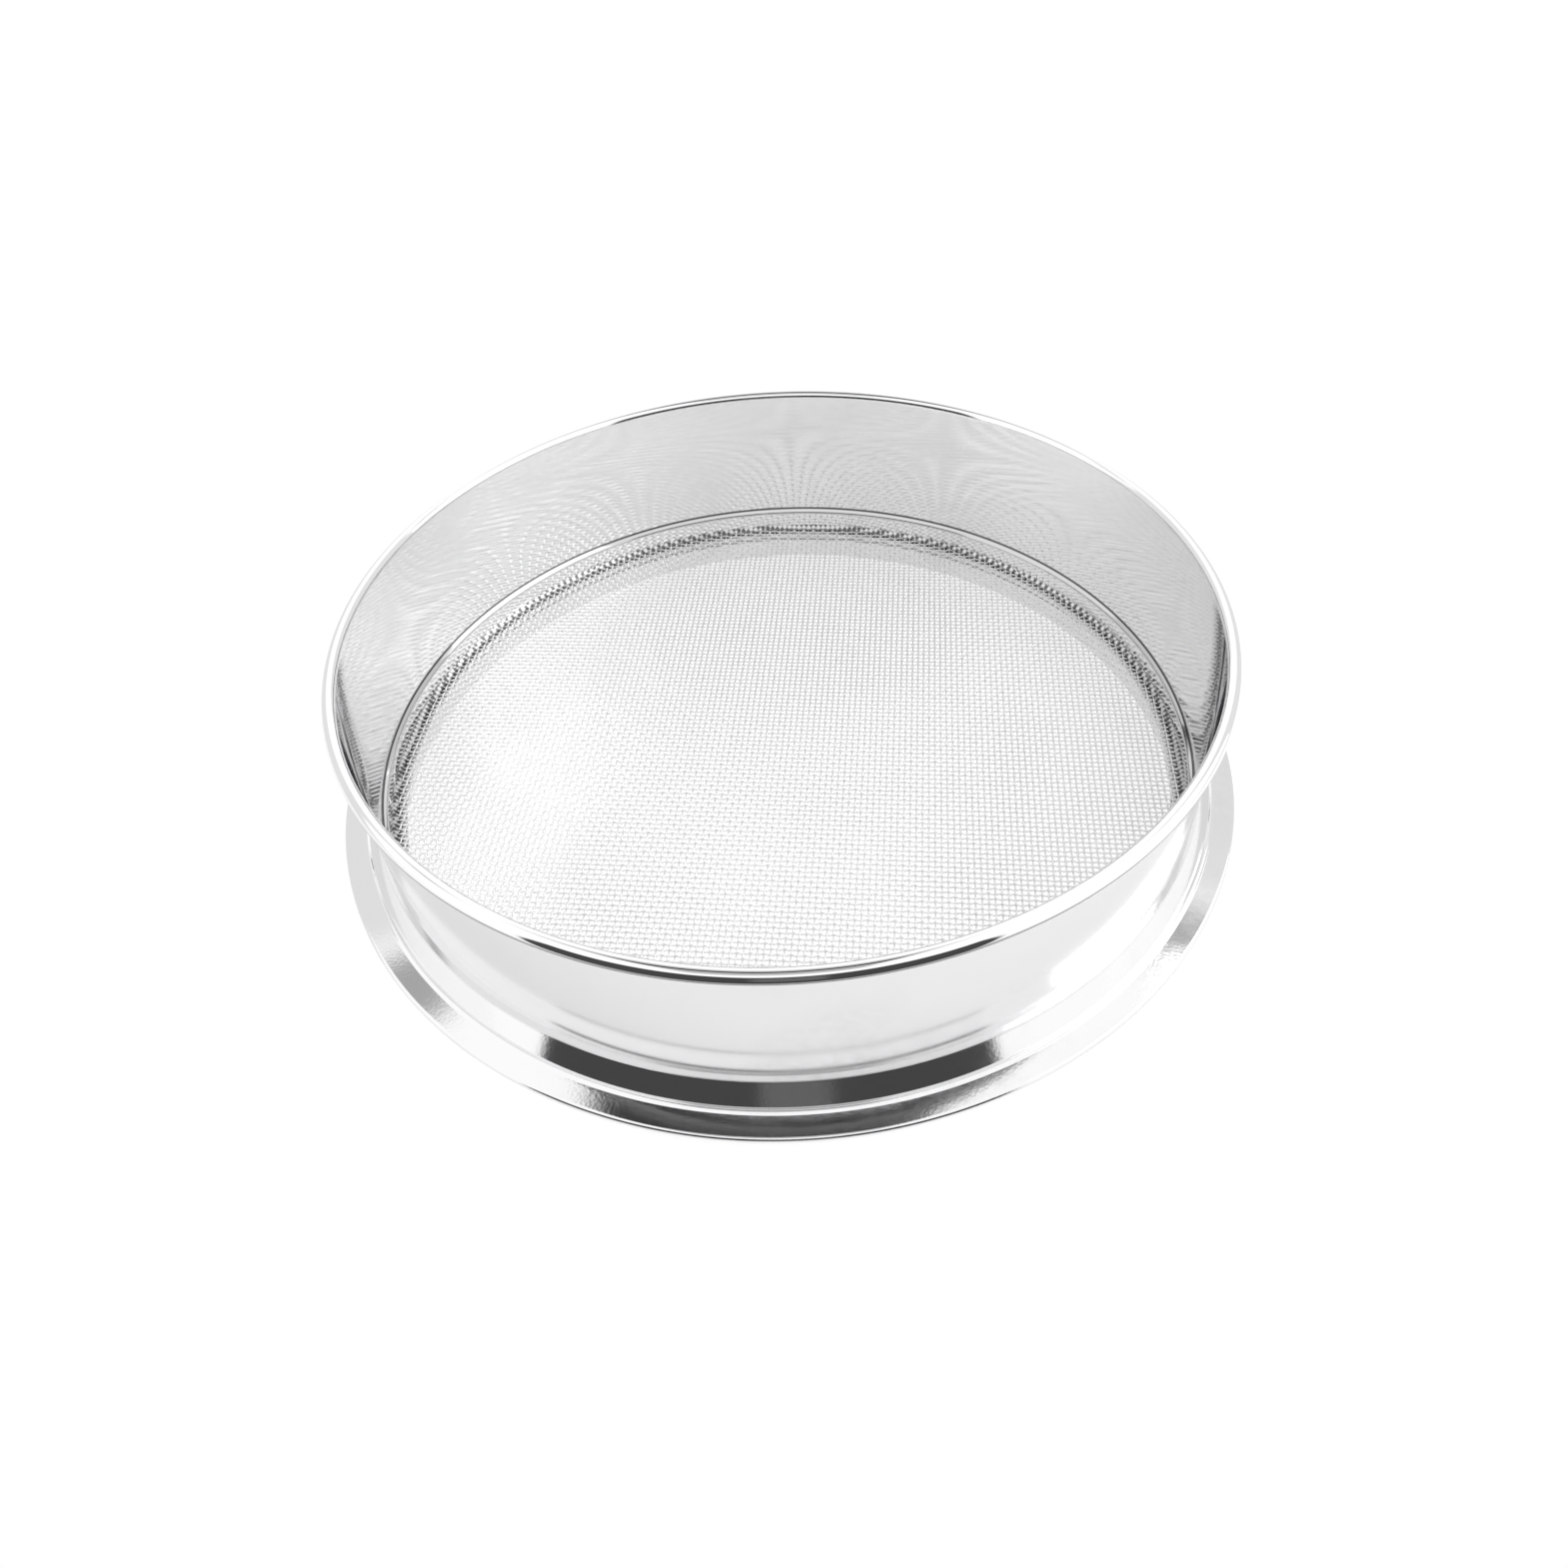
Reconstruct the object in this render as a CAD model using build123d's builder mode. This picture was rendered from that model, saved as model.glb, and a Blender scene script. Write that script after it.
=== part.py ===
"""A round woven-wire test sieve.

A spun sheet-steel frame has a rolled rim, a wall, a neck and a skirt. A flared base
ring is brazed round the wall's foot, so that the sieve stacks on the rim of another.
The wire cloth lies on a seat ring inside the skirt, under a fillet of solder.

Units are millimetres. The origin is the centre of the foot, on the surface that the
sieve stands on, and +Z runs up the sieve's axis, from the foot to the rim. The wires
of the cloth run along X and Y.
"""

import os

from build123d import *

# ---- frame: one spun sheet --------------------------------------------------------

INSIDE_RADIUS = 100.0        # clear inside of the wall, for a 200 mm sieve
HEIGHT = 55.0                # from the foot to the top of the rim
SHEET = 0.6                  # thickness of the frame's sheet
RIM_RADIUS = 1.6             # outside radius of the rolled rim
RIM_TURN = 285.0             # degrees that the sheet turns to roll the rim
NECK_TOP = 16.7              # height at which the wall starts to neck in
NECK_DROP = 1.1              # height over which it necks in
NECK_BEND = 0.7              # bend radius of the neck, at mid sheet
NEST_CLEARANCE = 0.5         # radial gap from a skirt to the wall that it nests in

# ---- base ring: sits over the rim of the sieve or pan below ------------------------

BASE_SHEET = 0.6             # thickness of the base ring's sheet
SLEEVE_TOP = 17.9            # height of the ring's upper edge, against the wall
SLEEVE_LENGTH = 0.5          # straight collar that is brazed to the wall
SHOULDER_REACH = 3.1         # how far the shoulder slopes out
SHOULDER_DROP = 4.8          # how far the shoulder slopes down
RIDGE_WIDTH = 0.8            # from the shoulder's foot to the ridge's crown
RIDGE_HEIGHT = 0.2           # rise of the crown over the shoulder's foot
RIDGE_RUN = 0.7              # from the crown out to the flange
RIDGE_FALL = 0.5             # drop over that run
FLANGE_WIDTH = 4.2           # from the ridge to the curled hem
FLANGE_DROP = 0.7            # how far the flange falls over its width
BASE_BEND = 0.45             # bend radius along the base ring, at mid sheet
HEM_RADIUS = 0.85            # outside radius of the curled hem
HEM_TURN = 250.0             # degrees that the sheet turns to curl the hem

# ---- wire cloth ---------------------------------------------------------------------

WIRE = 0.45                  # wire diameter
PITCH = 1.5                  # wire spacing, both ways
CLOTH_HEIGHT = 10.0          # height of the cloth's middle
CLOTH_WALL = 0.3             # thickness between the two layers of ridges
EDGE_BAND = 1.4              # width of the solder-filled band round the cloth
CLOTH_CLEARANCE = 0.1        # radial gap between the cloth and the skirt
GAP_STEP = 11                # wires from one open gap to the next
BAND_WIRES = 5               # wires left whole between two gaps
GAP_MARGIN = 1.0             # cloth left whole between the gaps and the edge band

# ---- seat ring and solder fillet ------------------------------------------------------

SEAT_SHEET = 0.5             # thickness of the seat ring's sheet
SEAT_WIDTH = 3.0             # how far the seat reaches in under the cloth
SEAT_DEPTH = 3.5             # length of the ring's leg down the skirt
FILLET_SIZE = 0.8            # leg of the solder fillet above the cloth

# ---- sizes that follow from those -------------------------------------------------------

skirt_outside = INSIDE_RADIUS - NEST_CLEARANCE
skirt_inside = skirt_outside - SHEET
wall_mid = INSIDE_RADIUS + SHEET / 2
skirt_mid = skirt_outside - SHEET / 2

cloth_top = CLOTH_HEIGHT + WIRE
cloth_bottom = CLOTH_HEIGHT - WIRE
cloth_radius = skirt_inside - CLOTH_CLEARANCE
weave_radius = cloth_radius - EDGE_BAND

os.makedirs("parts", exist_ok=True)


def save(piece, label):
    """Label a finished piece and write it as parts/LABEL.step."""
    piece.part.label = label
    export_step(piece.part, f"parts/{label}.step")


# ---- frame -------------------------------------------------------------------------------

rim_roll = RIM_RADIUS - SHEET / 2
rim_height = HEIGHT - RIM_RADIUS

with BuildPart() as frame:
    with BuildSketch(Plane.XZ):
        with BuildLine():
            FilletPolyline(
                (skirt_mid, 0),
                (skirt_mid, NECK_TOP - NECK_DROP),
                (wall_mid, NECK_TOP),
                (wall_mid, rim_height),
                radius=NECK_BEND,
            )
            CenterArc((wall_mid + rim_roll, rim_height), rim_roll, 180, -RIM_TURN)
        trace(line_width=SHEET)
    revolve(axis=Axis.Z)

save(frame, "frame")

# ---- base ring -----------------------------------------------------------------------------

hem_roll = HEM_RADIUS - BASE_SHEET / 2
sleeve_mid = INSIDE_RADIUS + SHEET + BASE_SHEET / 2
shoulder_top = SLEEVE_TOP - SLEEVE_LENGTH
shoulder_foot = (sleeve_mid + SHOULDER_REACH, shoulder_top - SHOULDER_DROP)
ridge_crown = (shoulder_foot[0] + RIDGE_WIDTH, shoulder_foot[1] + RIDGE_HEIGHT)
flange_start = (ridge_crown[0] + RIDGE_RUN, ridge_crown[1] - RIDGE_FALL)
flange_end = (flange_start[0] + FLANGE_WIDTH, flange_start[1] - FLANGE_DROP)

with BuildPart() as base_ring:
    with BuildSketch(Plane.XZ):
        with BuildLine():
            slope = FilletPolyline(
                (sleeve_mid, SLEEVE_TOP),
                (sleeve_mid, shoulder_top),
                shoulder_foot,
                ridge_crown,
                flange_start,
                flange_end,
                radius=BASE_BEND,
            )
            JernArc(slope @ 1, slope % 1, hem_roll, -HEM_TURN)
        trace(line_width=BASE_SHEET)
    revolve(axis=Axis.Z)

save(base_ring, "base_ring")

# ---- wire cloth ----------------------------------------------------------------------------

ridge_height = WIRE - CLOTH_WALL / 2
wall_top = CLOTH_HEIGHT + CLOTH_WALL / 2
gap_grid = GAP_STEP * PITCH
gap_size = gap_grid - (BAND_WIRES - 1) * PITCH - WIRE
gap_reach = weave_radius - GAP_MARGIN
gap_count = int(gap_reach / gap_grid)
band_count = 2 * round(weave_radius / gap_grid)
gap_places = [
    (column * gap_grid, row * gap_grid)
    for column in range(-gap_count, gap_count + 1)
    for row in range(-gap_count, gap_count + 1)
    if Vector(abs(column) * gap_grid + gap_size / 2, abs(row) * gap_grid + gap_size / 2).length <= gap_reach
]

with BuildPart() as wire_cloth:
    # The plain wall between the two layers, and the band of solder round it.
    with BuildSketch(Plane.XY.offset(wall_top - CLOTH_WALL)):
        Circle(weave_radius)
    extrude(amount=CLOTH_WALL)
    with BuildSketch(Plane.XY.offset(cloth_bottom)):
        Circle(cloth_radius)
        Circle(weave_radius, mode=Mode.SUBTRACT)
    extrude(amount=2 * WIRE)

    # A ridge for each wire of a band: along Y above the wall, and along X below it.
    with BuildSketch(Plane.XY.offset(wall_top)):
        with GridLocations(gap_grid, 0, band_count, 1):
            with GridLocations(PITCH, 0, BAND_WIRES, 1):
                Rectangle(WIRE, 2 * weave_radius)
        Circle(weave_radius, mode=Mode.INTERSECT)
    extrude(amount=ridge_height)
    with BuildSketch(Plane.XY.offset(cloth_bottom)):
        with GridLocations(0, gap_grid, 1, band_count):
            with GridLocations(0, PITCH, 1, BAND_WIRES):
                Rectangle(2 * weave_radius, WIRE)
        Circle(weave_radius, mode=Mode.INTERSECT)
    extrude(amount=ridge_height)

    # Open gaps between the bands of wires.
    with BuildSketch(Plane.XY.offset(cloth_bottom)):
        with Locations(*gap_places):
            Rectangle(gap_size, gap_size)
    extrude(amount=2 * WIRE, mode=Mode.SUBTRACT)

save(wire_cloth, "wire_cloth")

# ---- seat ring: an angle ring brazed inside the skirt, under the cloth -------------------------

with BuildPart() as seat_ring:
    with BuildSketch(Plane.XZ):
        with BuildLine():
            Polyline(
                (skirt_inside, cloth_bottom),
                (skirt_inside - SEAT_WIDTH, cloth_bottom),
                (skirt_inside - SEAT_WIDTH, cloth_bottom - SEAT_SHEET),
                (skirt_inside - SEAT_SHEET, cloth_bottom - SEAT_SHEET),
                (skirt_inside - SEAT_SHEET, cloth_bottom - SEAT_DEPTH),
                (skirt_inside, cloth_bottom - SEAT_DEPTH),
                close=True,
            )
        make_face()
    revolve(axis=Axis.Z)

save(seat_ring, "seat_ring")

# ---- solder fillet: a smooth run of solder between the cloth and the skirt -----------------------

with BuildPart() as solder_fillet:
    with BuildSketch(Plane.XZ):
        with BuildLine():
            Polyline(
                (skirt_inside, cloth_top + FILLET_SIZE),
                (skirt_inside, cloth_top),
                (skirt_inside - FILLET_SIZE, cloth_top),
                close=True,
            )
        make_face()
    revolve(axis=Axis.Z)

save(solder_fillet, "solder_fillet")
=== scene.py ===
"""Looks of a round woven-wire test sieve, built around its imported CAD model.

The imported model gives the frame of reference: metres, the origin at the centre of the
foot, +Z up the sieve's axis. Smooth lathed surfaces of the same form stand for the spun
frame and the base ring, and a plain weave of round wires stands for the cloth. The
seat ring and the solder fillet are the CAD nodes, with materials of their own.
"""

import logging
import math
from dataclasses import dataclass, field
from enum import Enum

import bpy
import numpy as np
from mathutils import Matrix, Vector

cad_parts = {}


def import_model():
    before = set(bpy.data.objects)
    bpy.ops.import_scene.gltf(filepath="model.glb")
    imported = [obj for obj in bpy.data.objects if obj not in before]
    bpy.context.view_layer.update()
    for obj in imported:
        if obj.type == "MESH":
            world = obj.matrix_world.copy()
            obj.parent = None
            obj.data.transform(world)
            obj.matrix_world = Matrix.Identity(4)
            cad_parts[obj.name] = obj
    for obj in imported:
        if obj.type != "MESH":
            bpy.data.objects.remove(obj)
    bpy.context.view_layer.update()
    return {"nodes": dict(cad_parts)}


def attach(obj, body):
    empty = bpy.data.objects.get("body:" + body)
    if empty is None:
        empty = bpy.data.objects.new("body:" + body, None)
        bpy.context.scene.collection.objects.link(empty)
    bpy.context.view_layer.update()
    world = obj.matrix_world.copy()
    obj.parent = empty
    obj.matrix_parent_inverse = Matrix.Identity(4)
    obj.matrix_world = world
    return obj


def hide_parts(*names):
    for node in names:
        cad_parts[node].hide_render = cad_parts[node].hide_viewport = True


LOG = logging.getLogger("sieve")
MM = 0.001
WIRE_SIDES = 6
WHITE = (1.0, 1.0, 1.0, 1.0)
SHARP_EDGE = math.radians(40.0)
SHARP_WIRE_EDGE = math.radians(80.0)

# Lumps per metre of the noise patterns of a metal.
PATCHES_PER_METRE = 28.0
SPECKS_PER_METRE = 420.0
PITS_PER_METRE = 1500.0
GRAIN_PER_METRE_ACROSS = 900.0
GRAIN_PER_METRE_ROUND = 14.0

# Tone of the painted light between the painted dashes of shade at the wires' ends, and of the
# painted shade inside them.
GAP_SHADE_TONES = (1.7, 0.3)


# ---- sizes -----------------------------------------------------------------------------


@dataclass(frozen=True)
class FrameSizes:
    """Sizes of the spun frame, in metres, as in the CAD model."""

    inside_radius: float = 100.0 * MM
    height: float = 55.0 * MM
    sheet: float = 0.6 * MM
    rim_radius: float = 1.6 * MM
    rim_turn: float = math.radians(285.0)
    neck_top: float = 16.7 * MM
    neck_drop: float = 1.1 * MM
    neck_bend: float = 0.7 * MM
    nest_clearance: float = 0.5 * MM

    @property
    def outside_radius(self) -> float:
        """Outside radius of the wall."""
        return self.inside_radius + self.sheet

    @property
    def skirt_inside(self) -> float:
        """Inside radius of the skirt."""
        return self.inside_radius - self.nest_clearance - self.sheet


@dataclass(frozen=True)
class BaseRingSizes:
    """Sizes of the base ring, in metres, as in the CAD model."""

    sheet: float = 0.6 * MM
    sleeve_top: float = 17.9 * MM
    sleeve_length: float = 0.5 * MM
    shoulder_reach: float = 3.1 * MM
    shoulder_drop: float = 4.8 * MM
    ridge_width: float = 0.8 * MM
    ridge_height: float = 0.2 * MM
    ridge_run: float = 0.7 * MM
    ridge_fall: float = 0.5 * MM
    flange_width: float = 4.2 * MM
    flange_drop: float = 0.7 * MM
    bend: float = 0.45 * MM
    hem_radius: float = 0.85 * MM
    hem_turn: float = math.radians(250.0)


@dataclass(frozen=True)
class ClothSizes:
    """Sizes of the wire cloth, in metres.

    Attributes:
        wire: Diameter of the wire, as in the CAD model.
        pitch: Spacing of the wires both ways, as in the CAD model.
        height: Height of the cloth's middle, as in the CAD model.
        edge_gap: Distance from the wires' ends to the skirt, within the CAD model's edge band.
    """

    wire: float = 0.45 * MM
    pitch: float = 1.5 * MM
    height: float = 10.0 * MM
    edge_gap: float = 0.45 * MM


# ---- finishes --------------------------------------------------------------------------


class Grain(Enum):
    """Which way the fine marks of a finish run."""

    ROUND_AXIS = "round the sieve's axis, as spinning and polishing leave them"
    NONE = "no direction"


@dataclass(frozen=True)
class ToneAndPaintedLightRing:
    """A ring round the axis in which a metal's tone and polish are another.

    Some rings are the metal's own tone; others are painted shade or painted light.

    Attributes:
        radius: Inner and outer radius.
        height: Lowest and highest height.
        tone: What the base colour is multiplied by inside the ring.
        rough: What the ring adds to the roughness.
        soft: Width over which the ring's edges fade.
    """

    radius: tuple[float, float]
    height: tuple[float, float]
    tone: float
    rough: float = 0.0
    soft: float = 0.15 * MM


@dataclass(frozen=True)
class Finish:
    """A metal finish.

    Attributes:
        name: Material name.
        colour: Linear base colour.
        roughness: Mean roughness.
        roughness_spread: How far the roughness wanders over the surface.
        grain: Direction of the fine marks.
        grain_depth: Height of the fine marks, in metres.
        grit: Height of the fine pits, in metres.
        smudge: How much handling and wear dulls the tone, from 0 to 1.
        tone_and_painted_light_rings: Rings of another tone, some the metal's own and some painted
            shade or painted light.
        gap_shade_dashes: Length of the painted dashes of shade in the gaps at the wires' ends,
            with painted light between them, or 0 for none.
    """

    name: str
    colour: tuple[float, float, float]
    roughness: float
    roughness_spread: float
    grain: Grain
    grain_depth: float
    grit: float = 0.0
    smudge: float = 0.1
    tone_and_painted_light_rings: tuple[ToneAndPaintedLightRing, ...] = ()
    gap_shade_dashes: float = 0.0


SPUN_STEEL = Finish(
    "spun_steel",
    colour=(0.97, 0.97, 0.975),
    roughness=0.05,
    roughness_spread=0.03,
    grain=Grain.ROUND_AXIS,
    grain_depth=0.0003 * MM,
    smudge=0.05,
    tone_and_painted_light_rings=(
        # Painted shade: a near-black line in the neck's inside crease, and a darker band on the
        # neck below it.
        ToneAndPaintedLightRing((98.0 * MM, 100.25 * MM), (16.60 * MM, 16.95 * MM), 0.15),
        ToneAndPaintedLightRing((98.0 * MM, 100.25 * MM), (15.5 * MM, 16.6 * MM), 0.7, soft=0.3 * MM),
        # Painted light: the skirt's inside under the cloth is made slightly paler.
        ToneAndPaintedLightRing((98.4 * MM, 99.1 * MM), (0.0, 9.4 * MM), 1.02),
        ToneAndPaintedLightRing((100.4 * MM, 101.0 * MM), (0.0, 50.5 * MM), 0.89, rough=0.06),
        # Painted shade: the rim's underside and the lower outside of its curl are darkened.
        ToneAndPaintedLightRing((100.9 * MM, 104.6 * MM), (51.0 * MM, 52.8 * MM), 0.25, soft=0.2 * MM),
        ToneAndPaintedLightRing((102.2 * MM, 104.6 * MM), (52.6 * MM, 53.5 * MM), 0.38, soft=0.3 * MM),
    ),
)
RING_STEEL = Finish(
    "ring_steel",
    colour=(0.93, 0.93, 0.935),
    roughness=0.07,
    roughness_spread=0.04,
    grain=Grain.ROUND_AXIS,
    grain_depth=0.0006 * MM,
    grit=0.008 * MM,
    smudge=0.06,
    tone_and_painted_light_rings=(ToneAndPaintedLightRing((100.4 * MM, 101.4 * MM), (17.3 * MM, 18.0 * MM), 0.9, rough=0.05),),
)
WIRE_STEEL = Finish("wire_steel", (0.96, 0.96, 0.96), 0.30, 0.06, Grain.NONE, 0.0, smudge=0.06)
SEAT_STEEL = Finish(
    "seat_steel",
    colour=(0.90, 0.90, 0.90),
    roughness=0.30,
    roughness_spread=0.08,
    grain=Grain.ROUND_AXIS,
    grain_depth=0.0010 * MM,
    smudge=0.10,
    tone_and_painted_light_rings=(
        # Painted shade: the seat ring's outer part, under the cloth by the wall, is darkened.
        ToneAndPaintedLightRing((96.3 * MM, 97.3 * MM), (0.0, 20.0 * MM), 0.9),
        ToneAndPaintedLightRing((97.2 * MM, 99.5 * MM), (0.0, 20.0 * MM), 0.4),
    ),
)
RUN_SOLDER = Finish(
    "run_solder",
    colour=(0.75, 0.75, 0.75),
    roughness=0.30,
    roughness_spread=0.10,
    grain=Grain.NONE,
    grain_depth=0.0,
    smudge=0.2,
    # Painted shade: the fillet is darkened next to the wall.
    tone_and_painted_light_rings=(ToneAndPaintedLightRing((97.5 * MM, 99.0 * MM), (0.0, 20.0 * MM), 0.6),),
    # Painted dashes of shade in the gaps at the wires' ends, with painted light between them.
    gap_shade_dashes=1.5 * MM,
)


class ShaderGraph:
    """Thin helper that adds and links the nodes of one shader tree."""

    def __init__(self, tree: bpy.types.NodeTree) -> None:
        """Start from an empty tree.

        Args:
            tree: The node tree to fill.
        """
        tree.nodes.clear()
        self.tree = tree

    def node(self, kind: str, inputs: dict | None = None, **properties) -> bpy.types.Node:
        """Add a node.

        Args:
            kind: Blender's node type name.
            inputs: Socket name or index to a value, or to an output socket that feeds it.
            **properties: Properties set on the node itself.

        Returns:
            The new node.
        """
        made = self.tree.nodes.new(kind)
        for name, value in properties.items():
            setattr(made, name, value)
        for key, value in (inputs or {}).items():
            if isinstance(value, bpy.types.NodeSocket):
                self.tree.links.new(value, made.inputs[key])
            else:
                made.inputs[key].default_value = value
        return made

    def math(self, operation: str, first, second=0.0, third=0.0) -> bpy.types.NodeSocket:
        """Add a Math node and return its output.

        Args:
            operation: Name of the operation.
            first: First operand, a number or a socket.
            second: Second operand, if the operation takes one.
            third: Third operand, if the operation takes one.

        Returns:
            The result's socket.
        """
        inputs = {0: first, 1: second, 2: third}
        return self.node("ShaderNodeMath", inputs, operation=operation).outputs[0]

    def blend(
        self, value, low: float, high: float, to_low: float, to_high: float
    ) -> bpy.types.NodeSocket:
        """Map a value smoothly from one range to another, held at both ends.

        Args:
            value: The socket to map.
            low: Start of the range.
            high: End of the range.
            to_low: Result at and before the start.
            to_high: Result at and past the end.

        Returns:
            The result's socket.
        """
        ends = {"From Min": low, "From Max": high, "To Min": to_low, "To Max": to_high}
        made = self.node(
            "ShaderNodeMapRange", {"Value": value, **ends}, interpolation_type="SMOOTHSTEP"
        )
        return made.outputs["Result"]

    def noise(
        self, place, scale: float, detail: float, roughness: float = 0.5
    ) -> bpy.types.NodeSocket:
        """Add a noise pattern and return its value.

        Args:
            place: The socket with the coordinates.
            scale: Number of lumps per unit of length.
            detail: Number of finer octaves.
            roughness: How strong each finer octave is beside the last.

        Returns:
            The value's socket.
        """
        inputs = {"Vector": place, "Scale": scale, "Detail": detail, "Roughness": roughness}
        return self.node("ShaderNodeTexNoise", inputs).outputs["Fac"]

    def within(self, value, low: float, high: float, soft: float) -> bpy.types.NodeSocket:
        """Return 1 where a value lies in a range and 0 outside it, with soft edges.

        Args:
            value: The socket to test.
            low: Low end of the range.
            high: High end of the range.
            soft: Width of each edge, outside the range.

        Returns:
            The result's socket.
        """
        return self.math(
            "MULTIPLY",
            self.blend(value, low - soft, low, 0.0, 1.0),
            self.blend(value, high, high + soft, 1.0, 0.0),
        )


def metal(finish: Finish) -> bpy.types.Material:
    """Build a metal from a finish.

    Patterns in object coordinates make it up: broad patches shift the roughness and the
    tone, small specks dull them further, rings change the tone of whole bands, some with the
    metal's own tone and some with painted shade or painted light, and painted dashes of shade
    darken the spots where waves along X and along Y are both high, with painted light between
    them. Where the grain runs round the axis, lines that hardly change round the axis but
    change fast across it raise a fine bump, and fine pits add to it.

    Args:
        finish: The finish to build.

    Returns:
        The new material.
    """
    material = bpy.data.materials.new(finish.name)
    material.use_nodes = True
    graph = ShaderGraph(material.node_tree)
    place = graph.node("ShaderNodeTexCoord").outputs["Object"]
    parts = graph.node("ShaderNodeSeparateXYZ", {0: place})
    x, y, z = (parts.outputs[axis] for axis in "XYZ")
    radius = graph.math("SQRT", graph.math("MULTIPLY_ADD", x, x, graph.math("MULTIPLY", y, y)))

    patches = graph.noise(place, PATCHES_PER_METRE, 3.0, 0.55)
    specks = graph.noise(place, SPECKS_PER_METRE, 4.0, 0.7)
    dull = graph.math(
        "MULTIPLY",
        graph.blend(patches, 0.45, 0.75, 0.0, 1.0),
        graph.blend(specks, 0.35, 0.7, 0.4, 1.0),
    )
    roughness = graph.math("MULTIPLY_ADD", dull, 2.0 * finish.roughness_spread, finish.roughness)
    tone = graph.math("MULTIPLY_ADD", dull, -finish.smudge, 1.0)
    for toned_ring in finish.tone_and_painted_light_rings:
        inside = graph.math(
            "MULTIPLY",
            graph.within(radius, *toned_ring.radius, toned_ring.soft),
            graph.within(z, *toned_ring.height, toned_ring.soft),
        )
        ring_tone = graph.math("MULTIPLY_ADD", inside, toned_ring.tone - 1.0, 1.0)
        tone = graph.math("MULTIPLY", tone, ring_tone)
        roughness = graph.math("MULTIPLY_ADD", inside, toned_ring.rough, roughness)
    # Painted shade in dashes where both waves are high, and painted light between them.
    if finish.gap_shade_dashes:
        turn = 2.0 * math.pi / finish.gap_shade_dashes
        waves = [graph.math("COSINE", graph.math("MULTIPLY", axis, turn)) for axis in (x, y)]
        both = graph.math("ADD", *waves)
        tone = graph.math("MULTIPLY", tone, graph.blend(both, -0.6, 0.6, *GAP_SHADE_TONES))
    colour = graph.node(
        "ShaderNodeVectorMath", {0: finish.colour, "Scale": tone}, operation="SCALE"
    )
    inputs = {"Base Color": colour.outputs[0], "Metallic": 1.0, "Roughness": roughness}

    if finish.grain is Grain.ROUND_AXIS:
        across = graph.math("MULTIPLY", graph.math("ADD", radius, z), GRAIN_PER_METRE_ACROSS)
        along = [graph.math("MULTIPLY", axis, GRAIN_PER_METRE_ROUND) for axis in (x, y)]
        lines = {"X": along[0], "Y": along[1], "Z": across}
        stretched = graph.node("ShaderNodeCombineXYZ", lines).outputs[0]
        relief = graph.math("MULTIPLY", graph.noise(stretched, 1.0, 3.0, 0.6), finish.grain_depth)
        pits = graph.noise(place, PITS_PER_METRE, 2.0, 0.6)
        relief = graph.math("MULTIPLY_ADD", pits, finish.grit, relief)
        bump = graph.node("ShaderNodeBump", {"Strength": 1.0, "Distance": 1.0, "Height": relief})
        inputs["Normal"] = bump.outputs[0]

    shader = graph.node("ShaderNodeBsdfPrincipled", inputs)
    graph.node("ShaderNodeOutputMaterial", {"Surface": shader.outputs[0]})
    return material


# ---- surfaces --------------------------------------------------------------------------


def unit(vector: np.ndarray) -> np.ndarray:
    """Return the vector, or each row of vectors, scaled to length 1.

    Args:
        vector: One vector, or an array with one per row.

    Returns:
        The scaled copy.
    """
    return vector / np.linalg.norm(vector, axis=-1, keepdims=True)


def rounded_line(corners: list[tuple[float, float]], bend: float, steps: int = 6) -> np.ndarray:
    """Round each inner corner of a line by an arc that touches both its runs.

    The arc leaves each run at the bend radius over the tangent of half the corner's angle,
    and its centre lies on the corner's bisector.

    Args:
        corners: Radius and height of each corner, first and last included.
        bend: Radius of the arcs.
        steps: Number of chords in each arc.

    Returns:
        The rounded line's points, one (radius, height) per row.
    """
    points = np.array(corners, float)
    rows = [points[:1]]
    for before, corner, after in zip(points, points[1:], points[2:]):
        back, on = unit(before - corner), unit(after - corner)
        half = 0.5 * math.acos(float(np.clip(back @ on, -1.0, 1.0)))
        centre = corner + unit(back + on) * bend / math.sin(half)
        start = corner + back * bend / math.tan(half) - centre
        sign = math.copysign(1.0, back[1] * on[0] - back[0] * on[1])
        turn = sign * np.linspace(0.0, math.pi - 2.0 * half, steps + 1)
        angle = math.atan2(start[1], start[0]) + turn
        rows.append(centre + bend * np.stack([np.cos(angle), np.sin(angle)], axis=1))
    rows.append(points[-1:])
    return np.concatenate(rows)


def curled(line: np.ndarray, radius: float, turn: float, steps: int) -> np.ndarray:
    """Carry a line on by an arc that starts along its last run and turns clockwise.

    Args:
        line: The line's points.
        radius: Radius of the arc.
        turn: Angle of the arc, in radians.
        steps: Number of chords in the arc.

    Returns:
        The line with the arc's points added.
    """
    along = unit(line[-1] - line[-2])
    centre = line[-1] + radius * np.array([along[1], -along[0]])
    spoke = line[-1] - centre
    angle = math.atan2(spoke[1], spoke[0]) - np.linspace(0.0, turn, steps + 1)[1:]
    arc = centre + radius * np.stack([np.cos(angle), np.sin(angle)], axis=1)
    return np.concatenate([line, arc])


def braced(line: np.ndarray, margin: float = 0.12 * MM) -> np.ndarray:
    """Add a point near both ends of each long straight run, so that it is shaded flat.

    Args:
        line: The line's points.
        margin: Distance of the new points from the run's ends.

    Returns:
        The line with the points added.
    """
    rows = []
    for start, end in zip(line, line[1:]):
        rows.append(start)
        length = float(np.linalg.norm(end - start))
        if length > 4.0 * margin:
            step = (end - start) * margin / length
            rows += [start + step, end - step]
    rows.append(line[-1])
    return np.array(rows)


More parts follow.
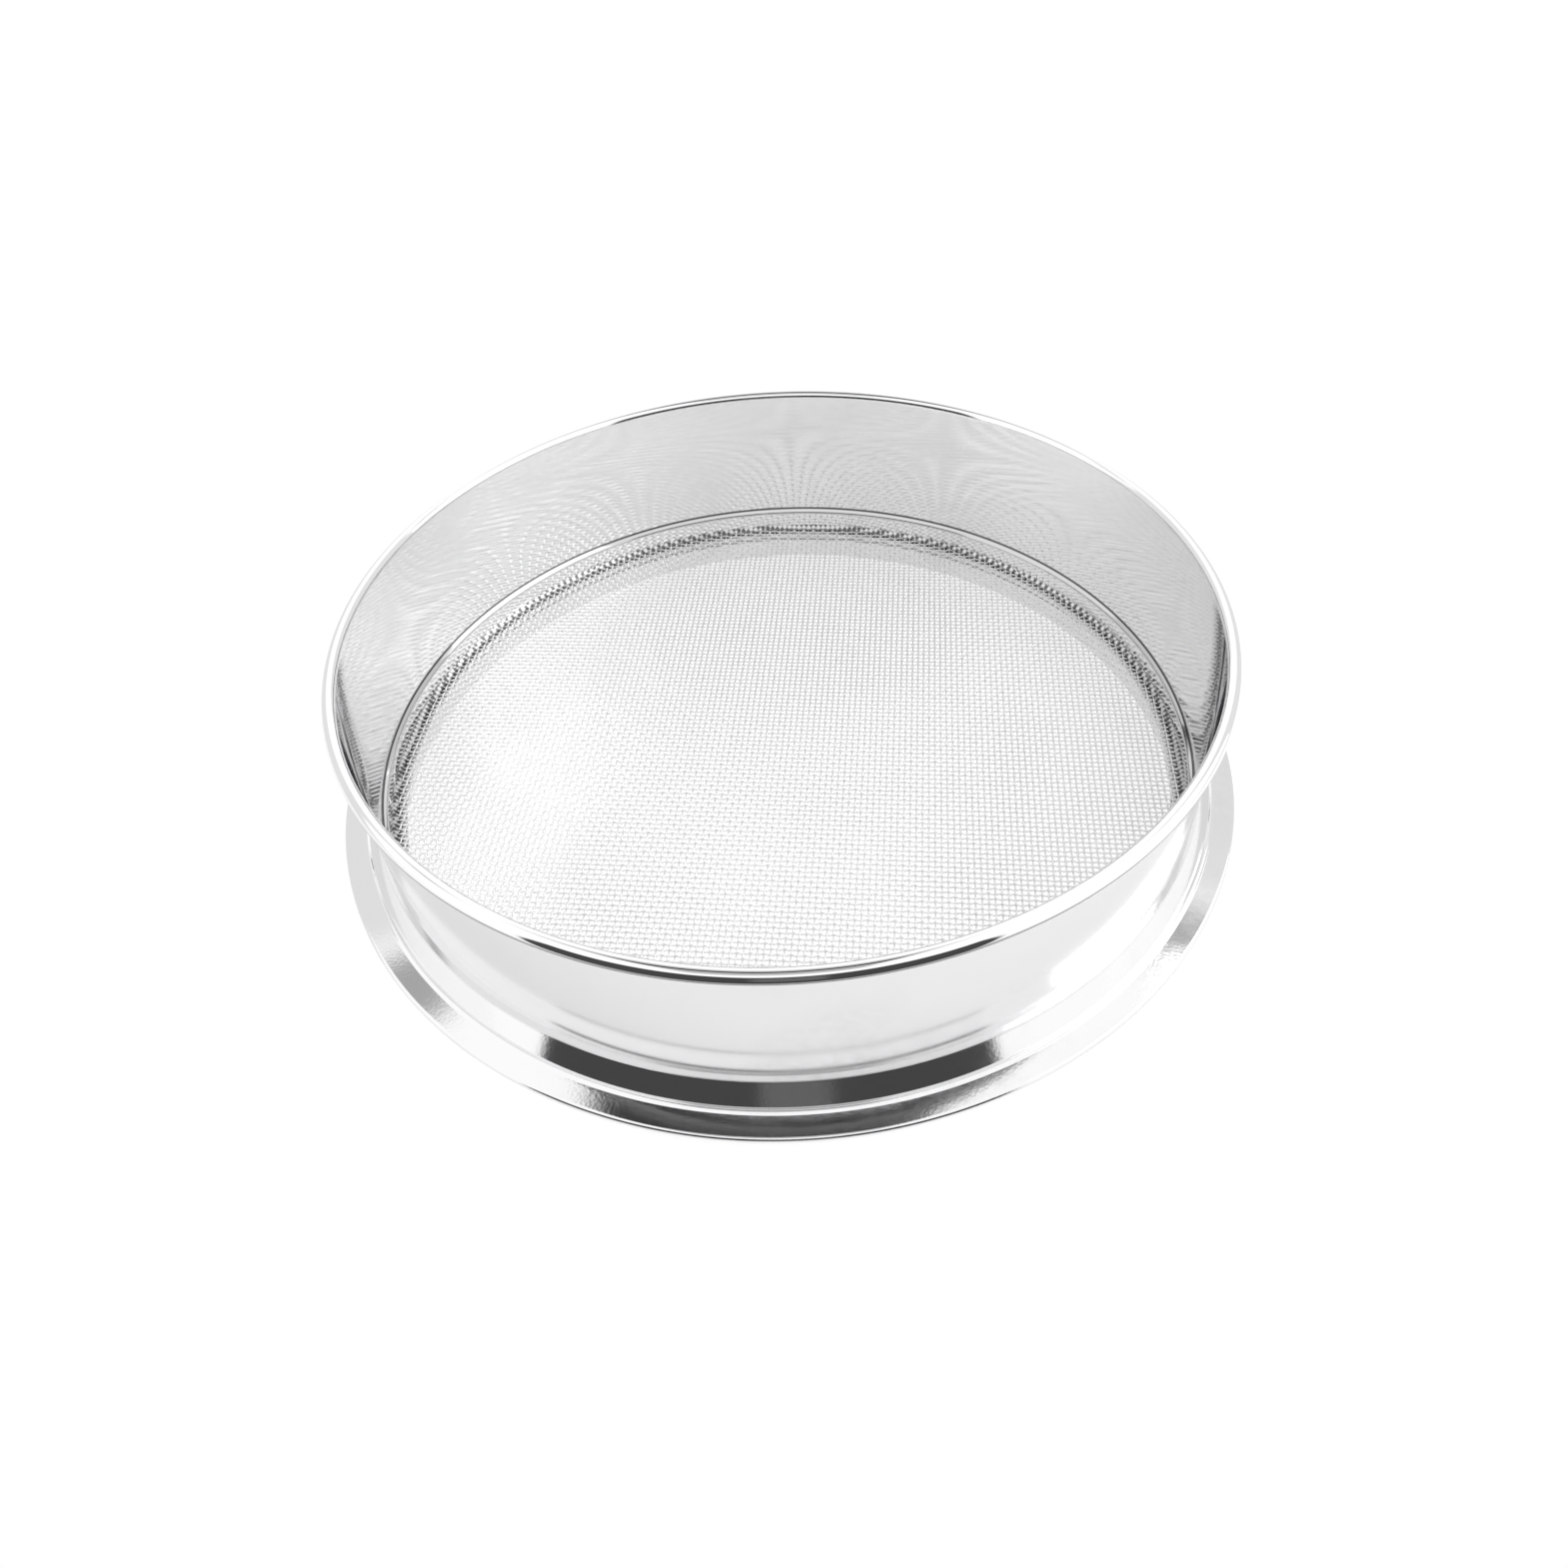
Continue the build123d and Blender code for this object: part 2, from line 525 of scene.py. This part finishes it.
def sheet_section(line: np.ndarray, thickness: float) -> np.ndarray:
    """Turn the middle line of a sheet into its closed section.

    Each point moves to both sides along the mean normal of its two runs, by half the
    thickness over the cosine of half the angle between them, so the sheet stays as thick.

    Args:
        line: Points of the middle line.
        thickness: Thickness of the sheet.

    Returns:
        Points of the closed outline, counter-clockwise.
    """
    runs = unit(np.diff(line, axis=0))
    before, after = np.vstack([runs[:1], runs]), np.vstack([runs, runs[-1:]])
    mean = unit(before + after)
    stretch = 1.0 / np.sum(mean * after, axis=1, keepdims=True)
    normal = np.stack([-mean[:, 1], mean[:, 0]], axis=1) * stretch * thickness / 2.0
    outline = np.concatenate([line - normal, (line + normal)[::-1]])
    nxt = np.roll(outline, -1, axis=0)
    area = np.sum(outline[:, 0] * nxt[:, 1] - nxt[:, 0] * outline[:, 1])
    return outline if area > 0.0 else outline[::-1]


def mesh_object(
    name: str, vertices: np.ndarray, quads: np.ndarray, material: bpy.types.Material, sharp: float
) -> bpy.types.Object:
    """Make a smooth mesh object from arrays.

    Args:
        name: Name of the object and its mesh.
        vertices: One point per row, in metres.
        quads: Four vertex numbers per row, counter-clockwise seen from outside.
        material: Material of every face.
        sharp: Angle in radians past which an edge is sharp.

    Returns:
        The new object, linked to the scene.
    """
    mesh = bpy.data.meshes.new(name)
    mesh.vertices.add(len(vertices))
    mesh.vertices.foreach_set("co", vertices.astype(np.float32).ravel())
    mesh.loops.add(quads.size)
    mesh.loops.foreach_set("vertex_index", quads.astype(np.int32).ravel())
    mesh.polygons.add(len(quads))
    mesh.polygons.foreach_set("loop_start", np.arange(0, quads.size, 4, dtype=np.int32))
    mesh.update(calc_edges=True)
    mesh.validate()
    mesh.shade_smooth()
    mesh.set_sharp_from_angle(angle=sharp)
    mesh.materials.append(material)
    made = bpy.data.objects.new(name, mesh)
    bpy.context.scene.collection.objects.link(made)
    LOG.info("%s: %d faces", name, len(quads))
    return made


def lathed(
    name: str, outline: np.ndarray, material: bpy.types.Material, segments: int = 480
) -> bpy.types.Object:
    """Turn a closed outline round the Z axis into a closed surface.

    The vertex of outline point i in segment j lies at the point's radius and height, at
    j parts of a full turn. Each face joins two neighbouring points of two neighbouring
    segments, and both directions close on themselves.

    Args:
        name: Name of the object.
        outline: Points of the closed outline, counter-clockwise, one (radius, height) per row.
        material: Material of the surface.
        segments: Number of segments round the axis.

    Returns:
        The new object.
    """
    turn = np.linspace(0.0, 2.0 * math.pi, segments, endpoint=False)[:, None]
    radius, height = outline[None, :, 0], outline[None, :, 1]
    heights = np.broadcast_to(height, (segments, len(outline)))
    vertices = np.stack([radius * np.cos(turn), radius * np.sin(turn), heights], axis=2)
    ring = np.arange(segments)[:, None] * len(outline)
    beside = np.roll(ring, -1, axis=0)
    point = np.arange(len(outline))[None, :]
    above = np.roll(point, -1, axis=1)
    quads = np.stack([ring + point, beside + point, beside + above, ring + above], axis=2)
    return mesh_object(
        name, vertices.reshape(-1, 3), quads.reshape(-1, 4), material, sharp=SHARP_EDGE
    )


# ---- sub-assemblies --------------------------------------------------------------------


@dataclass
class SpunFrame:
    """The spun sheet frame: skirt, neck, wall and rolled rim."""

    sizes: FrameSizes = field(default_factory=FrameSizes)

    def outline(self) -> np.ndarray:
        """Return the closed section of the frame's sheet.

        Returns:
            Points of the outline, one (radius, height) per row.
        """
        s = self.sizes
        wall = s.inside_radius + s.sheet / 2.0
        skirt = s.skirt_inside + s.sheet / 2.0
        line = rounded_line(
            [
                (skirt, 0.0),
                (skirt, s.neck_top - s.neck_drop),
                (wall, s.neck_top),
                (wall, s.height - s.rim_radius),
            ],
            s.neck_bend,
        )
        line = braced(curled(line, s.rim_radius - s.sheet / 2.0, s.rim_turn, 38))
        return sheet_section(line, s.sheet)

    def build(self) -> bpy.types.Object:
        """Make the frame and let it stand for the CAD node.

        Returns:
            The frame's object.
        """
        made = lathed("spun_frame", self.outline(), metal(SPUN_STEEL))
        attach(made, "root")
        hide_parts("frame")
        return made


@dataclass
class BaseRing:
    """The pressed base ring: collar, shoulder, ridge, flange and curled hem."""

    frame: FrameSizes
    sizes: BaseRingSizes = field(default_factory=BaseRingSizes)

    def outline(self) -> np.ndarray:
        """Return the closed section of the ring's sheet.

        Returns:
            Points of the outline, one (radius, height) per row.
        """
        s = self.sizes
        sleeve = self.frame.outside_radius + s.sheet / 2.0
        foot = (sleeve + s.shoulder_reach, s.sleeve_top - s.sleeve_length - s.shoulder_drop)
        crown = (foot[0] + s.ridge_width, foot[1] + s.ridge_height)
        flange = (crown[0] + s.ridge_run, crown[1] - s.ridge_fall)
        end = (flange[0] + s.flange_width, flange[1] - s.flange_drop)
        collar = [(sleeve, s.sleeve_top), (sleeve, s.sleeve_top - s.sleeve_length)]
        line = rounded_line([*collar, foot, crown, flange, end], s.bend)
        line = braced(curled(line, s.hem_radius - s.sheet / 2.0, s.hem_turn, 26))
        return sheet_section(line, s.sheet)

    def build(self) -> bpy.types.Object:
        """Make the ring and let it stand for the CAD node.

        Returns:
            The ring's object.
        """
        made = lathed("flared_base_ring", self.outline(), metal(RING_STEEL))
        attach(made, "root")
        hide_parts("base_ring")
        return made


class Side(Enum):
    """Which half of the cloth a group of wires lies in."""

    LOW = -1
    HIGH = 1


@dataclass
class WovenCloth:
    """The wire cloth: a square plain weave of round wires, cut to a circle."""

    frame: FrameSizes
    sizes: ClothSizes = field(default_factory=ClothSizes)
    steps: int = 2

    def wires(
        self, name: str, along: int, half: Side, material: bpy.types.Material
    ) -> bpy.types.Object:
        """Make the wires of one direction in one half of the cloth.

        Wires lie at whole steps of the pitch, offset by half a pitch. The middle line of
        wire k waves in height as half a wire times the cosine of half a turn per pitch,
        and each wire starts half a turn after its neighbour, so that at a crossing one
        wire passes over and the other under, and both touch. Each wire ends at the circle,
        in a flat cap. Swapping X and Y for the wires along Y mirrors them, so their faces
        are listed in reverse to point outwards too.

        Args:
            name: Name of the object.
            along: 0 for wires along X, 1 for wires along Y.
            half: The half of the cloth, by the sign of the wires' offset.
            material: Material of the wires.

        Returns:
            The new object.
        """
        s = self.sizes
        reach = self.frame.skirt_inside - s.edge_gap
        count = int(reach / s.pitch + 0.5)
        index = np.arange(count) if half is Side.HIGH else -1 - np.arange(count)
        offset = (index + 0.5) * s.pitch
        index = index[np.abs(offset) < reach]
        offset = offset[np.abs(offset) < reach]
        length = np.sqrt(reach**2 - offset**2)

        spacing = s.pitch / self.steps
        fits = np.floor(length / spacing).astype(int)
        most = int(fits.max())
        step = np.arange(-most - 1, most + 2)
        position = np.clip(step[None, :] * spacing, -length[:, None], length[:, None])
        keep = np.abs(step)[None, :] <= fits[:, None] + 1

        phase = math.pi * (position / s.pitch - 0.5) + math.pi * index[:, None]
        sign = 1.0 if along == 0 else -1.0
        height = s.height + sign * s.wire / 2.0 * np.cos(phase)
        slope = -sign * s.wire / 2.0 * math.pi / s.pitch * np.sin(phase)
        lean = np.sqrt(1.0 + slope**2)

        around = np.linspace(0.0, 2.0 * math.pi, WIRE_SIDES, endpoint=False) + math.pi / WIRE_SIDES
        across, up = s.wire / 2.0 * np.cos(around), s.wire / 2.0 * np.sin(around)
        run = position[..., None] - up * (slope / lean)[..., None]
        rise = height[..., None] + up / lean[..., None]
        aside = np.broadcast_to(offset[:, None, None] + across, run.shape)
        parts = [run, aside, rise] if along == 0 else [aside, run, rise]
        vertices = np.stack(parts, axis=3)

        number = np.arange(vertices[..., 0].size).reshape(vertices.shape[:3])
        first, second = number[:, :-1, :], number[:, 1:, :]
        turned = [np.roll(ring, -1, axis=2) for ring in (first, second)]
        quads = np.stack([first, turned[0], turned[1], second], axis=3)
        if along == 1:
            quads = quads[..., ::-1]
        real = (keep[:, :-1] & keep[:, 1:])[:, :, None]
        quads = quads[np.broadcast_to(real, quads.shape[:3])]
        rows = np.arange(len(number))
        start = number[rows, np.argmax(keep, axis=1)]
        end = number[rows, keep.shape[1] - 1 - np.argmax(keep[:, ::-1], axis=1)]
        halves = np.array([[0, 1, 2, 3], [3, 4, 5, 0]])
        caps = np.concatenate([start[:, halves[:, ::-1]], end[:, halves]]).reshape(-1, 4)
        if along == 1:
            caps = caps[:, ::-1]
        used, quads = np.unique(np.concatenate([quads, caps]), return_inverse=True)
        points = vertices.reshape(-1, 3)[used]
        made = mesh_object(name, points, quads.reshape(-1, 4), material, sharp=SHARP_WIRE_EDGE)
        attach(made, "root")
        return made

    def build(self) -> list[bpy.types.Object]:
        """Make all the wires and let them stand for the CAD node.

        Returns:
            The objects of the cloth.
        """
        material = metal(WIRE_STEEL)
        made = [
            self.wires(f"wires_{'xy'[along]}_{half.name.lower()}", along, half, material)
            for along in (0, 1)
            for half in Side
        ]
        for piece in made:
            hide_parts("wire_cloth")
        return made


def finish_cad_nodes(nodes: dict[str, bpy.types.Object]) -> None:
    """Give the CAD nodes that stay in view their materials.

    Args:
        nodes: CAD node name to object.
    """
    for name, finish in {"seat_ring": SEAT_STEEL, "solder_fillet": RUN_SOLDER}.items():
        nodes[name].data.materials.clear()
        nodes[name].data.materials.append(metal(finish))


# ---- studio ----------------------------------------------------------------------------


@dataclass(frozen=True)
class Viewpoint:
    """The camera's place and lens.

    Attributes:
        centre: Point that the camera's orbit is measured from.
        azimuth: Turn of the camera round +Z from -Y, in radians.
        elevation: Angle above the horizon, in radians.
        distance: Distance from the centre.
        roll: Turn about the line of sight, in radians.
        aim: Where the centre falls in the picture, right and up of its middle, over its width.
        lens: Focal length over the width of the picture.
    """

    centre: tuple[float, float, float] = (0.0, 0.0, 55.0 * MM)
    azimuth: float = math.radians(7.2)
    elevation: float = 0.6528
    distance: float = 282.87 * MM
    roll: float = 0.0610
    aim: tuple[float, float] = (-0.00481, 0.11257)
    lens: float = 0.77517


@dataclass(frozen=True)
class Hatch:
    """A hatch or a flat in the studio's walls that is darker than they are.

    Attributes:
        light: Its brightness.
        along: Lowest and highest angle along the line of sight, from the horizon behind the
            camera over the zenith, in radians.
        aside: Leftmost and rightmost angle across the line of sight, in radians.
    """

    light: float
    along: tuple[float, float]
    aside: tuple[float, float]

    @classmethod
    def degrees(cls, light: float, low: float, high: float, left: float, right: float) -> "Hatch":
        """Make a hatch from angles in degrees.

        Args:
            light: Its brightness.
            low: Lowest angle along the line of sight.
            high: Highest angle along the line of sight.
            left: Leftmost angle across it.
            right: Rightmost angle across it.

        Returns:
            The hatch.
        """
        angles = [math.radians(angle) for angle in (low, high, left, right)]
        return cls(light, (angles[0], angles[1]), (angles[2], angles[3]))


@dataclass(frozen=True)
class Studio:
    """A white studio whose open side, behind the camera, stays dark.

    Attributes:
        view: The camera's viewpoint.
        light: Brightness of the white walls.
        dark: Brightness of the open side.
        open_side: Azimuths of the open side's left and right edges from the camera's, in radians.
        top: Elevation of the open side's top, in radians.
        hatches: The hatches and flats, each over those before it.
        soft: Width of the soft edges, in radians.
        table: How far the floor reaches from the middle, towards the camera, away and aside,
            in metres.
        glow: What the floor adds for rays from the camera and for mirrored rays.
        floor_tones: Darkest and palest tone of the floor.
        lamp_place: Where the middle of the softbox hangs.
        lamp_size: Length of the softbox's side, in metres.
        lamp_power: Power of the softbox, in watts.
    """

    view: Viewpoint = field(default_factory=Viewpoint)
    light: float = 1.04
    dark: float = 0.06
    open_side: tuple[float, float] = (math.radians(-56.0), math.radians(40.0))
    top: float = math.radians(33.0)
    hatches: tuple[Hatch, ...] = (
        Hatch.degrees(0.78, 124.0, 200.0, -90.0, -24.0),
        Hatch.degrees(0.78, 124.0, 200.0, 24.0, 90.0),
        Hatch.degrees(0.50, 66.0, 122.0, -15.0, 8.0),
        Hatch.degrees(0.04, 94.0, 106.0, -15.0, 8.0),
        Hatch.degrees(0.38, 115.0, 119.0, -31.5, -28.5),
        Hatch.degrees(0.38, 115.0, 119.0, 28.5, 31.5),
        Hatch.degrees(0.13, -20.0, 20.0, -8.0, 4.0),
    )
    soft: float = math.radians(3.0)
    table: tuple[float, float, float] = (0.146, 3.0, 3.0)
    glow: tuple[float, float] = (0.72, 0.42)
    floor_tones: tuple[float, float] = (0.61, 0.63)
    lamp_place: tuple[float, float, float] = (0.9, 0.1, 0.7)
    lamp_size: float = 0.8
    lamp_power: float = 3.5

    def camera(self) -> bpy.types.Object:
        """Make the camera and set it on the scene.

        The camera first looks at the centre from its orbit, rolls, and is then turned by
        the least rotation that brings the centre to its place in the picture.

        Returns:
            The camera.
        """
        v = self.view
        sin_e, cos_e = math.sin(v.elevation), math.cos(v.elevation)
        right = np.array([1.0, 0.0, 0.0])
        ahead = np.array([0.0, cos_e, -sin_e])
        up = np.cross(right, ahead)
        spin = np.array(
            [
                [math.cos(v.roll), -math.sin(v.roll), 0.0],
                [math.sin(v.roll), math.cos(v.roll), 0.0],
                [0.0, 0.0, 1.0],
            ]
        )
        target = unit(np.array([v.aim[0] / v.lens, v.aim[1] / v.lens, 1.0]))
        axis = np.cross([0.0, 0.0, 1.0], target)
        skew = np.array(
            [[0.0, -axis[2], axis[1]], [axis[2], 0.0, -axis[0]], [-axis[1], axis[0], 0.0]]
        )
        swing = np.eye(3) + skew + skew @ skew / (1.0 + target[2])
        rows = swing @ spin @ np.stack([right, up, ahead])
        turn = np.array(Matrix.Rotation(v.azimuth, 3, "Z"))
        rows = rows @ turn.T
        place = np.array(v.centre) + v.distance * turn @ np.array([0.0, -cos_e, sin_e])

        data = bpy.data.cameras.new("camera")
        data.sensor_width = 36.0
        data.lens = 36.0 * v.lens
        data.clip_start, data.clip_end = 0.01, 20.0
        made = bpy.data.objects.new("camera", data)
        pose = Matrix.Identity(4)
        for column, direction in enumerate((rows[0], rows[1], -rows[2])):
            for row in range(3):
                pose[row][column] = direction[row]
        for row in range(3):
            pose[row][3] = place[row]
        made.matrix_world = pose
        bpy.context.scene.collection.objects.link(made)
        bpy.context.scene.camera = made
        return made

    def world(self) -> None:
        """Light the scene from all round, with the open side and the hatches dark.

        The open side is where a direction's azimuth from the camera's lies between its two
        edges and its elevation is below its top. A hatch is a box in two angles: across the
        line of sight, and along it from the horizon behind the camera.
        """
        v = self.view
        world = bpy.data.worlds.new("studio")
        world.use_nodes = True
        bpy.context.scene.world = world
        graph = ShaderGraph(world.node_tree)
        direction = graph.node("ShaderNodeTexCoord").outputs["Generated"]
        parts = graph.node("ShaderNodeSeparateXYZ", {0: direction})
        x, y, z = (parts.outputs[axis] for axis in "XYZ")
        towards = graph.math(
            "ADD",
            graph.math("MULTIPLY", x, math.sin(v.azimuth)),
            graph.math("MULTIPLY", y, -math.cos(v.azimuth)),
        )
        aside = graph.math(
            "ADD",
            graph.math("MULTIPLY", x, math.cos(v.azimuth)),
            graph.math("MULTIPLY", y, math.sin(v.azimuth)),
        )
        azimuth = graph.math("ARCTAN2", aside, towards)
        dark = graph.math(
            "MULTIPLY",
            graph.within(azimuth, *self.open_side, self.soft),
            graph.blend(graph.math("ARCSINE", z), self.top, self.top + self.soft, 1.0, 0.0),
        )
        strength = graph.math("MULTIPLY_ADD", dark, self.dark - self.light, self.light)
        along, across = graph.math("ARCTAN2", z, towards), graph.math("ARCSINE", aside)
        for hatch in self.hatches:
            inside = graph.math(
                "MULTIPLY",
                graph.within(along, *hatch.along, self.soft),
                graph.within(across, *hatch.aside, self.soft),
            )
            left = graph.math("MULTIPLY", strength, graph.math("SUBTRACT", 1.0, inside))
            strength = graph.math("MULTIPLY_ADD", inside, hatch.light, left)
        path = graph.node("ShaderNodeLightPath")
        shown = graph.node(
            "ShaderNodeMix",
            {"Factor": path.outputs["Is Camera Ray"], "A": strength, "B": 1.0},
            data_type="FLOAT",
        ).outputs[0]
        background = graph.node("ShaderNodeBackground", {"Color": WHITE, "Strength": shown})
        graph.node("ShaderNodeOutputWorld", {"Surface": background.outputs[0]})

    def floor(self) -> bpy.types.Object:
        """Make the pale floor that the sieve stands on: a table top that ends before the camera.

        Returns:
            The floor.
        """
        near, far, side = self.table
        turn = np.array(Matrix.Rotation(self.view.azimuth, 3, "Z"))
        flat = np.array(
            [(-side, -near, 0.0), (side, -near, 0.0), (side, far, 0.0), (-side, far, 0.0)]
        )
        corners = flat @ turn.T
        material = bpy.data.materials.new("pale_floor")
        material.use_nodes = True
        graph = ShaderGraph(material.node_tree)
        place = graph.node("ShaderNodeTexCoord").outputs["Object"]
        mottle = graph.noise(place, 3.0, 2.0)
        tone = graph.blend(mottle, 0.3, 0.7, *self.floor_tones)
        colour = graph.node("ShaderNodeCombineColor", {0: tone, 1: tone, 2: tone}).outputs[0]
        lit = graph.node("ShaderNodeBsdfDiffuse", {"Color": colour})
        path = graph.node("ShaderNodeLightPath")
        lift = graph.math(
            "ADD",
            graph.math("MULTIPLY", path.outputs["Is Camera Ray"], self.glow[0]),
            graph.math("MULTIPLY", path.outputs["Is Glossy Ray"], self.glow[1]),
        )
        glow = graph.node("ShaderNodeEmission", {"Color": WHITE, "Strength": lift})
        shader = graph.node("ShaderNodeAddShader", {0: lit.outputs[0], 1: glow.outputs[0]})
        graph.node("ShaderNodeOutputMaterial", {"Surface": shader.outputs[0]})
        quad = np.array([[0, 1, 2, 3]])
        made = mesh_object("floor", corners, quad, material, sharp=SHARP_EDGE)
        return made

    def softbox(self) -> None:
        """Hang the square softbox so that it faces the sieve."""
        data = bpy.data.lights.new("softbox", "AREA")
        data.shape, data.size, data.energy = "SQUARE", self.lamp_size, self.lamp_power
        made = bpy.data.objects.new("softbox", data)
        made.location = self.lamp_place
        made.rotation_euler = (-Vector(self.lamp_place)).to_track_quat("-Z", "Y").to_euler()
        bpy.context.scene.collection.objects.link(made)

    def build(self) -> None:
        """Set up the camera, the light and the floor."""
        scene = bpy.context.scene
        scene.view_settings.view_transform = "Standard"
        self.camera()
        self.world()
        self.floor()
        self.softbox()


# ---- the scene -------------------------------------------------------------------------


def main() -> None:
    """Build the sieve's looks and its studio."""
    logging.basicConfig(level=logging.INFO, format="%(name)s: %(message)s")
    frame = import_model()

    sizes = FrameSizes()
    SpunFrame(sizes).build()
    BaseRing(sizes).build()
    WovenCloth(sizes).build()
    finish_cad_nodes(frame["nodes"])
    Studio().build()


if __name__ == "__main__":
    main()
